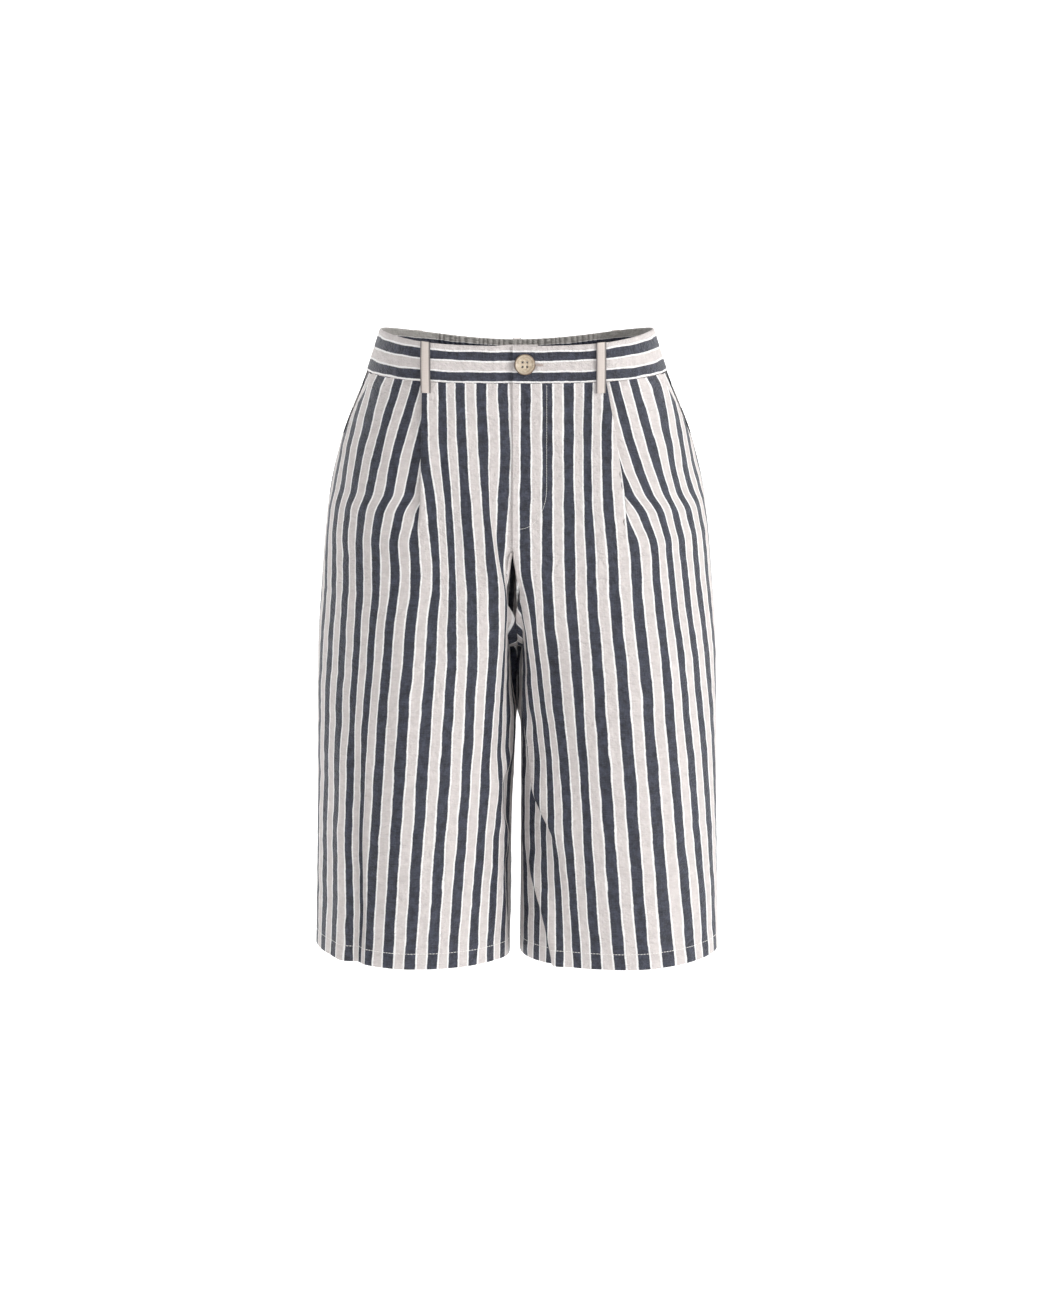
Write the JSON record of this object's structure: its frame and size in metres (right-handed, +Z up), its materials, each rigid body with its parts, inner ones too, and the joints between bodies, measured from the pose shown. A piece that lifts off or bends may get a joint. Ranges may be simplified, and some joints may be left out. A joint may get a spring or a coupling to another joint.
{
  "type": "bermuda shorts",
  "caption": "Knee-length striped bermuda shorts, filled out and hollow, with a lapped fly, knife pleats, slant pockets, belt loops and an elastic back waist",
  "frame": {"origin": "the middle of the waist, level with the top edge of the centre front", "axes": "+Z up, the front faces -Y, +X is the wearer's left"},
  "size_m": [0.4102, 0.2143, 0.6257],
  "materials": {
    "striped_cloth": "crinkled cotton and linen, navy stripes edged with white on pinkish greige",
    "band_cloth": "the same striped cloth, with the stripes round the waist",
    "loop_cloth": "plain greige cloth",
    "zip_tape": "woven tape",
    "button_horn": "cream, horn-like, satin"
  },
  "bodies": {
    "root": {"front_left": "striped_cloth", "front_right": "striped_cloth", "back_left": "striped_cloth", "back_right": "striped_cloth", "pocket_left": "striped_cloth", "pocket_right": "striped_cloth", "fly_shield": "striped_cloth", "waistband_front_left": "band_cloth", "waistband_front_right": "band_cloth", "waistband_back": "band_cloth", "loop_front_left": "loop_cloth", "loop_front_right": "loop_cloth", "loop_back_left": "loop_cloth", "loop_back_centre": "loop_cloth", "loop_back_right": "loop_cloth", "zip": "zip_tape", "button": "button_horn"}
  },
  "joints": []
}
